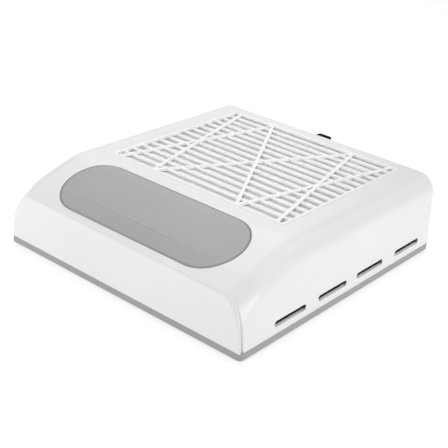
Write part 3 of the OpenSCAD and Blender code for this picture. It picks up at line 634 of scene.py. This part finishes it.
def around_knob(angle):
    """Turns what is drawn along -X to that angle round the knob, seen from the back."""
    turn = Matrix.Rotation(math.radians(angle), 4, "Y")
    return Matrix.Translation((KNOB_X, BACK_Y, PANEL_PARTS_Z)) @ turn @ TO_BACK


def dial_pointer():
    """A light filling in the knob's groove."""
    outline = rectangle(POINTER_L, POINTER_W, -POINTER_R, 0)
    return prism("dial_pointer", outline, POINTER_LOW, POINTER_HIGH, around_knob(DIAL_START))


# ---- the filter's top sheet ----

SCRIM_LOW, SCRIM_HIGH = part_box("filter_scrim")
PLEAT_COUNT = 30
PLEAT_STEPS = 8
SCRIM_STEPS = 48
SCRIM_SAG = 0.22 * MM
SCRIM_WAVE = 0.12 * MM
SCRIM_WAVE_L = 14 * MM
SCRIM_T = 0.75 * MM
SCRIM_PROUD = 0.3 * MM


def filter_sheet():
    """Non-woven sheet pulled over the pleats: it touches their crests and sags between them."""
    width = SCRIM_HIGH.x - SCRIM_LOW.x
    depth = SCRIM_HIGH.y - SCRIM_LOW.y
    pitch = depth / PLEAT_COUNT
    top = SCRIM_HIGH.z + SCRIM_PROUD - SCRIM_WAVE
    across, along = SCRIM_STEPS, PLEAT_COUNT * PLEAT_STEPS
    bm = bmesh.new()
    grid = []
    for j in range(along + 1):
        y = SCRIM_LOW.y + depth * j / along
        sag = SCRIM_SAG * (0.5 - 0.5 * math.cos(2 * math.pi * (y - SCRIM_LOW.y) / pitch))
        row = []
        for i in range(across + 1):
            x = SCRIM_LOW.x + width * i / across
            wave = SCRIM_WAVE * noise.noise(Vector((x, y, 0)) / SCRIM_WAVE_L)
            row.append(bm.verts.new((x, y, top - sag + wave)))
        grid.append(row)
    for low, high in zip(grid, grid[1:]):
        for i in range(across):
            bm.faces.new((low[i], low[i + 1], high[i + 1], high[i]))
    sheet = new_piece("filter_felt", bm)
    if sheet.data.polygons[0].normal.z < 0:
        sheet.data.flip_normals()
    shade_smooth(sheet)
    thick = sheet.modifiers.new("thick", "SOLIDIFY")
    thick.thickness = SCRIM_T
    thick.offset = -1
    return sheet


# ---- materials ----


class Paint:
    """A material under construction: its nodes and its Principled shader."""

    def __init__(self, name, colour, roughness, metallic=0.0):
        self.material = bpy.data.materials.new(name)
        self.material.use_nodes = True
        self.nodes = self.material.node_tree.nodes
        self.links = self.material.node_tree.links
        self.shader = self.nodes["Principled BSDF"]
        self.shader.inputs["Base Color"].default_value = (*colour, 1)
        self.shader.inputs["Roughness"].default_value = roughness
        self.shader.inputs["Metallic"].default_value = metallic
        self.colour = colour
        self.place = self.add("ShaderNodeTexCoord").outputs["Object"]

    def add(self, kind, **values):
        """A new node of that kind, with those settings."""
        node = self.nodes.new(kind)
        for key, value in values.items():
            setattr(node, key, value)
        return node

    def set(self, socket, value):
        """Sets an input of the Principled shader."""
        self.shader.inputs[socket].default_value = value

    def noise(self, scale, detail=3.0, stretch=None, rough=0.5):
        """Noise of that many waves per metre, stretched along axes if asked."""
        node = self.add("ShaderNodeTexNoise")
        node.inputs["Scale"].default_value = scale
        node.inputs["Detail"].default_value = detail
        node.inputs["Roughness"].default_value = rough
        place = self.place
        if stretch:
            mapping = self.add("ShaderNodeMapping")
            mapping.inputs["Scale"].default_value = stretch
            self.links.new(place, mapping.inputs["Vector"])
            place = mapping.outputs["Vector"]
        self.links.new(place, node.inputs["Vector"])
        return node.outputs["Fac"]

    def span(self, source, low, high, out_low, out_high):
        """Maps a value from one range to another."""
        node = self.add("ShaderNodeMapRange")
        node.inputs["From Min"].default_value = low
        node.inputs["From Max"].default_value = high
        node.inputs["To Min"].default_value = out_low
        node.inputs["To Max"].default_value = out_high
        self.links.new(source, node.inputs["Value"])
        return node.outputs["Result"]

    def tint(self, source, low, high):
        """Varies the colour between two shares of itself."""
        node = self.add("ShaderNodeMix", data_type="RGBA")
        node.inputs["A"].default_value = (*[c * low for c in self.colour], 1)
        node.inputs["B"].default_value = (*[min(1.0, c * high) for c in self.colour], 1)
        self.links.new(self.span(source, 0.3, 0.7, 0, 1), node.inputs["Factor"])
        self.links.new(node.outputs["Result"], self.shader.inputs["Base Color"])

    def vary_roughness(self, source, low, high):
        """Varies the roughness between two values."""
        self.links.new(self.span(source, 0.3, 0.7, low, high), self.shader.inputs["Roughness"])

    def bump(self, *layers):
        """Adds height layers, each a (value, depth in metres)."""
        normal = None
        for source, depth in layers:
            node = self.add("ShaderNodeBump")
            node.inputs["Strength"].default_value = 1
            node.inputs["Distance"].default_value = depth
            self.links.new(source, node.inputs["Height"])
            if normal:
                self.links.new(normal, node.inputs["Normal"])
            normal = node.outputs["Normal"]
        self.links.new(normal, self.shader.inputs["Normal"])


def moulded(name, colour, roughness, grain=1500, depth=0.004 * MM, variation=0.015):
    """Injection-moulded plastic: an even colour, a faint flow pattern and a fine grain."""
    paint = Paint(name, colour, roughness)
    paint.tint(paint.noise(14, 2), 1 - variation, 1 + variation)
    paint.vary_roughness(paint.noise(60, 4), roughness - 0.04, roughness + 0.04)
    paint.bump((paint.noise(grain, 2), depth), (paint.noise(220, 2), depth))
    return paint


def shell_white():
    """Satin white plastic."""
    return moulded("white_abs", (0.80, 0.80, 0.80), 0.36, 1800, 0.0015 * MM).material


def panel_white():
    """Thin white plastic that lets some light through its ribs."""
    paint = moulded("panel_abs", (0.92, 0.92, 0.92), 0.3, 1800, 0.0015 * MM)
    paint.set("Subsurface Weight", 0.6)
    paint.set("Subsurface Radius", (1, 1, 1))
    paint.set("Subsurface Scale", 2 * MM)
    return paint.material


def tab_black():
    """Matt black rubber-like plastic that throws back next to no light."""
    paint = Paint("tab_rubber", (0.006, 0.006, 0.006), 0.85)
    paint.set("Specular IOR Level", 0.08)
    paint.tint(paint.noise(200, 3), 0.8, 1.2)
    paint.bump((paint.noise(1500, 3), 0.01 * MM))
    return paint.material


def pad_grey():
    """Silicone, with painted shade that darkens it towards its rim, where the groove around it
    shades it.
    """
    paint = moulded("pad_silicone", (0.40, 0.40, 0.40), 0.52, 2600, 0.006 * MM, 0.02)
    paint.set("Specular IOR Level", 0.4)
    body = paint.shader.inputs["Base Color"].links[0].from_socket
    # Painted shade: the rim mask mixes the pad's colour down to a darker grey along its edge
    rim = paint.add("ShaderNodeAttribute", attribute_name="rim")
    blend = paint.add("ShaderNodeMix", data_type="RGBA")
    blend.inputs["B"].default_value = (0.33, 0.33, 0.33, 1)
    paint.links.new(rim.outputs["Fac"], blend.inputs["Factor"])
    paint.links.new(body, blend.inputs["A"])
    paint.links.new(blend.outputs["Result"], paint.shader.inputs["Base Color"])
    return paint.material


def band_grey():
    """Satin grey plastic."""
    return moulded("band_abs", (0.33, 0.33, 0.33), 0.45, 1500, 0.004 * MM).material


def filter_paper():
    """Non-woven fibre sheet: matted fibres and small clouds of thicker and thinner felt."""
    paint = Paint("filter_felt", (0.87, 0.87, 0.86), 0.95)
    paint.tint(paint.noise(350, 6), 0.93, 1.04)
    fibres = paint.noise(2200, 5, (1, 0.35, 1), 0.7)
    paint.bump((fibres, 0.08 * MM), (paint.noise(500, 4), 0.06 * MM))
    return paint.material


def plain(name, colour, roughness):
    """An even, dull surface with a fine grain, for what is seen little or not at all."""
    paint = Paint(name, colour, roughness)
    paint.tint(paint.noise(90, 3), 0.94, 1.06)
    paint.vary_roughness(paint.noise(300, 3), roughness * 0.9, min(1, roughness * 1.1))
    paint.bump((paint.noise(1500, 3), 0.004 * MM))
    return paint.material


def brushed(name, colour, roughness):
    """Plated or ground steel with fine lines along X."""
    paint = Paint(name, colour, roughness, 1.0)
    lines = paint.noise(400, 4, (0.1, 6, 6))
    paint.tint(lines, 0.88, 1.08)
    paint.vary_roughness(lines, roughness * 0.75, min(1, roughness * 1.3))
    paint.bump((lines, 0.002 * MM))
    return paint.material


FINISHES = {
    "shell_white": shell_white,
    "panel_white": panel_white,
    "tab_black": tab_black,
    "pad_grey": pad_grey,
    "band_grey": band_grey,
    "rubber_black": lambda: plain("black_rubber", (0.03, 0.03, 0.03), 0.75),
    "foam_black": lambda: plain("black_foam", (0.035, 0.035, 0.035), 0.95),
    "black_plastic": lambda: plain("black_abs", (0.022, 0.022, 0.024), 0.45),
    "frame_white": lambda: plain("frame_abs", (0.80, 0.80, 0.79), 0.5),
    "filter_paper": filter_paper,
    "zinc_steel": lambda: brushed("zinc_steel", (0.62, 0.63, 0.66), 0.34),
    "guard_steel": lambda: brushed("guard_steel", (0.55, 0.56, 0.58), 0.3),
    "shaft_steel": lambda: brushed("shaft_steel", (0.68, 0.69, 0.71), 0.2),
    "motor_black": lambda: plain("motor_enamel", (0.03, 0.03, 0.033), 0.38),
    "lamination": lambda: brushed("lamination_steel", (0.30, 0.30, 0.33), 0.5),
    "copper": lambda: brushed("copper", (0.72, 0.33, 0.16), 0.3),
    "board_green": lambda: plain("board_lacquer", (0.02, 0.12, 0.05), 0.3),
    "component_black": lambda: plain("component_case", (0.03, 0.03, 0.035), 0.5),
    "lead_black": lambda: plain("lead_black", (0.02, 0.02, 0.022), 0.5),
    "lead_brown": lambda: plain("lead_brown", (0.16, 0.05, 0.02), 0.5),
    "lead_white": lambda: plain("lead_white", (0.7, 0.7, 0.68), 0.5),
    "lead_red": lambda: plain("lead_red", (0.42, 0.02, 0.015), 0.5),
}

materials = {slot: make() for slot, make in FINISHES.items()}


def finish_with(piece, slot):
    """Gives a new piece the material of that slot."""
    piece.data.materials.clear()
    piece.data.materials.append(materials[slot])


slot_of = {part["node"]: part["material_slot"] for part in frame["record"]["subparts"]}


def paint_nodes():
    """Every CAD node that stays gets its slot's material."""
    for name, node in frame["nodes"].items():
        for place in node.material_slots:
            place.material = materials[slot_of[name]]
        if not node.material_slots:
            node.data.materials.append(materials[slot_of[name]])


# ---- the pieces ----

paint_nodes()

shell = housing_shell()
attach(shell, "housing")
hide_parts("top_shell")
finish_with(shell, "shell_white")

pad = wrist_pad()
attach(pad, "housing")
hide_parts("wrist_pad")
finish_with(pad, "pad_grey")

felt = filter_sheet()
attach(felt, "filter_cassette")
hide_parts("filter_scrim")
finish_with(felt, "filter_paper")

for mark, body, finish in (
    (rocker_marks(), "power_rocker", "frame_white"),
    (dial_marks(), "housing", "band_grey"),
    (dial_pointer(), "speed_dial", "frame_white"),
):
    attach(mark, body)
    finish_with(mark, finish)

SOFT_EDGES = {
    "grille_panel": 0.15 * MM,
    "base_tray": 0.5 * MM,
    "filter_frame": 0.4 * MM,
    "filter_pull_tab": 0.4 * MM,
    "rocker_housing": 0.4 * MM,
    "rocker_button": 0.4 * MM,
    "speed_knob": 0.3 * MM,
    "mains_inlet": 0.4 * MM,
    "rubber_feet": 0.5 * MM,
}
for name, width in SOFT_EDGES.items():
    soften(frame["nodes"][name], width)


# ---- stage, light and camera ----

CAMERA_AZIMUTH = math.radians(38.38)
CAMERA_ELEVATION = math.radians(25.92)
CAMERA_ROLL = math.radians(4.68)
CAMERA_DISTANCE = 0.884
CAMERA_LENS = 79.8
CAMERA_SENSOR = 36
CAMERA_TARGET = Vector((0.0165, -0.0288, 0.037))

LIGHT_AIM = Vector((0, 0, 0.03))
LIGHT_DISTANCE = 1.3
WORLD_STRENGTH = 0.13
FLOOR_GLOW = 0.62
FLOOR_HALF = 3


def floor():
    """A pale table with a faint glow of its own, as a light table has."""
    bm = bmesh.new()
    bmesh.ops.create_grid(bm, x_segments=1, y_segments=1, size=FLOOR_HALF)
    made = new_piece("floor", bm)
    paint = Paint("floor_paper", (0.5, 0.5, 0.5), 0.9)
    paint.tint(paint.noise(3, 2), 0.99, 1.01)
    paint.set("Emission Color", (1, 1, 1, 1))
    paint.set("Emission Strength", FLOOR_GLOW)
    made.data.materials.append(paint.material)


def towards(azimuth, elevation):
    """The direction from the object to a light or camera, azimuth 0 being the front."""
    return Vector((
        math.sin(azimuth) * math.cos(elevation),
        -math.cos(azimuth) * math.cos(elevation),
        math.sin(elevation),
    ))


def softbox(name, azimuth, elevation, size, watts):
    """A square soft light that faces the object; azimuth 0 is the front and 90 the right."""
    data = bpy.data.lights.new(name, "AREA")
    data.shape = "SQUARE"
    data.size = size
    data.energy = watts
    lamp = bpy.data.objects.new(name, data)
    turn, rise = math.radians(azimuth), math.radians(elevation)
    away = towards(turn, rise)
    lamp.location = LIGHT_AIM + away * LIGHT_DISTANCE
    lamp.rotation_euler = away.to_track_quat("Z", "Y").to_euler()
    bpy.context.scene.collection.objects.link(lamp)


def surroundings():
    """An even white sky that fills in the shadows."""
    world = bpy.data.worlds.new("studio")
    world.use_nodes = True
    world.node_tree.nodes["Background"].inputs["Color"].default_value = (1, 1, 1, 1)
    world.node_tree.nodes["Background"].inputs["Strength"].default_value = WORLD_STRENGTH
    bpy.context.scene.world = world


def camera():
    """The photograph's view: from the front right, above, with the camera slightly rolled."""
    data = bpy.data.cameras.new("camera")
    data.lens = CAMERA_LENS
    data.sensor_width = CAMERA_SENSOR
    made = bpy.data.objects.new("camera", data)
    back = towards(CAMERA_AZIMUTH, CAMERA_ELEVATION)
    level = back.cross(Vector((0, 0, 1))).normalized() * -1
    over = back.cross(level)
    right = level * math.cos(CAMERA_ROLL) + over * math.sin(CAMERA_ROLL)
    up = over * math.cos(CAMERA_ROLL) - level * math.sin(CAMERA_ROLL)
    turn = Matrix((right, up, back)).transposed().to_4x4()
    made.matrix_world = Matrix.Translation(CAMERA_TARGET + back * CAMERA_DISTANCE) @ turn
    bpy.context.scene.collection.objects.link(made)
    bpy.context.scene.camera = made


floor()
surroundings()
softbox("right_low", 90, 10, 0.5, 5.3)
softbox("left_low", -45, 10, 0.5, 4.4)
softbox("front_low", 0, 10, 0.5, 0.9)
softbox("front_high", 0, 55, 0.9, 6.0)
softbox("back_left_high", 225, 55, 0.9, 5.9)
softbox("back_right_high", 135, 55, 0.9, 4.5)
softbox("back_left", 225, 25, 0.9, 2.3)
camera()

bpy.context.scene.view_settings.view_transform = "Standard"
